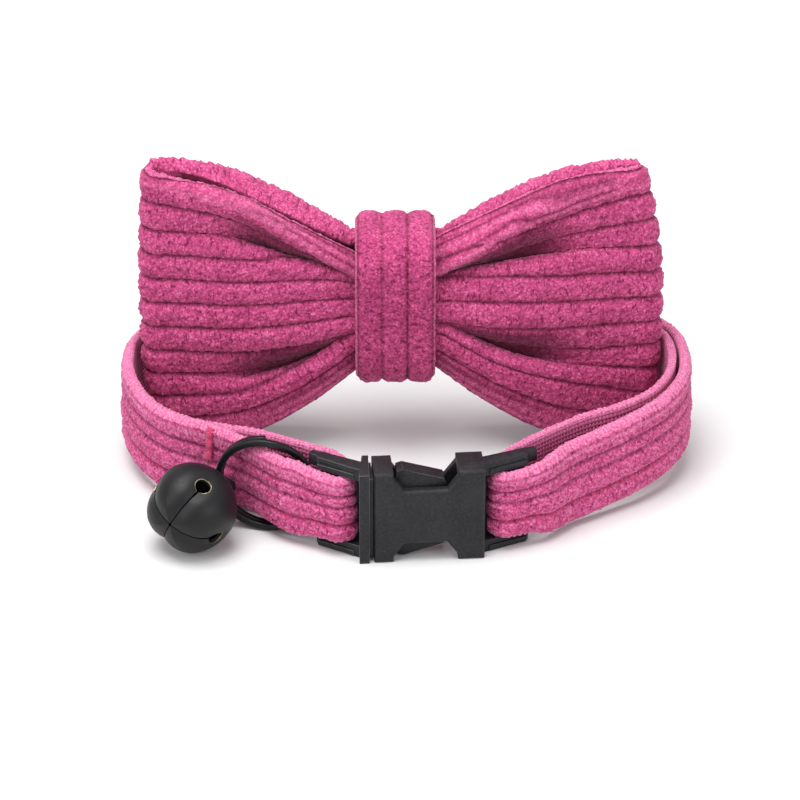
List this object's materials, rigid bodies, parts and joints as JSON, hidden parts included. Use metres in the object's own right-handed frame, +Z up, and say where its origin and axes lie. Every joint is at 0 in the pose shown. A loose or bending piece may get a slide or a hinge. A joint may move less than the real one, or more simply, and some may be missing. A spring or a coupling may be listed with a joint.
{
  "type": "cat collar",
  "caption": "Buckled cat collar of ribbed corduroy with a large flat bow at the back, a side-release buckle, a split ring and a slotted round bell.",
  "frame": {"origin": "middle of the collar's plan box, on the surface it rests on", "axes": "+X along the bow and the buckle, +Y from the buckle to the bow, +Z up"},
  "size_m": [0.0898, 0.0508, 0.0473],
  "materials": {
    "strap_corduroy": "ribbed cotton pile on a woven ground",
    "bow_corduroy": "ribbed cotton pile on a woven ground",
    "knot_corduroy": "ribbed cotton pile on a woven ground",
    "buckle_plug": "moulded, satin",
    "buckle_housing": "moulded, satin",
    "ring_wire": "black lacquer",
    "bell_shell": "satin black lacquer, worn bright at the slit edges",
    "bell_clapper": "dull"
  },
  "bodies": {
    "root": {"strap": "strap_corduroy", "bow": "bow_corduroy", "bow_knot": "knot_corduroy", "buckle_male": "buckle_plug", "buckle_female": "buckle_housing", "split_ring": "ring_wire", "bell": "bell_shell", "bell_ball": "bell_clapper"}
  },
  "joints": []
}
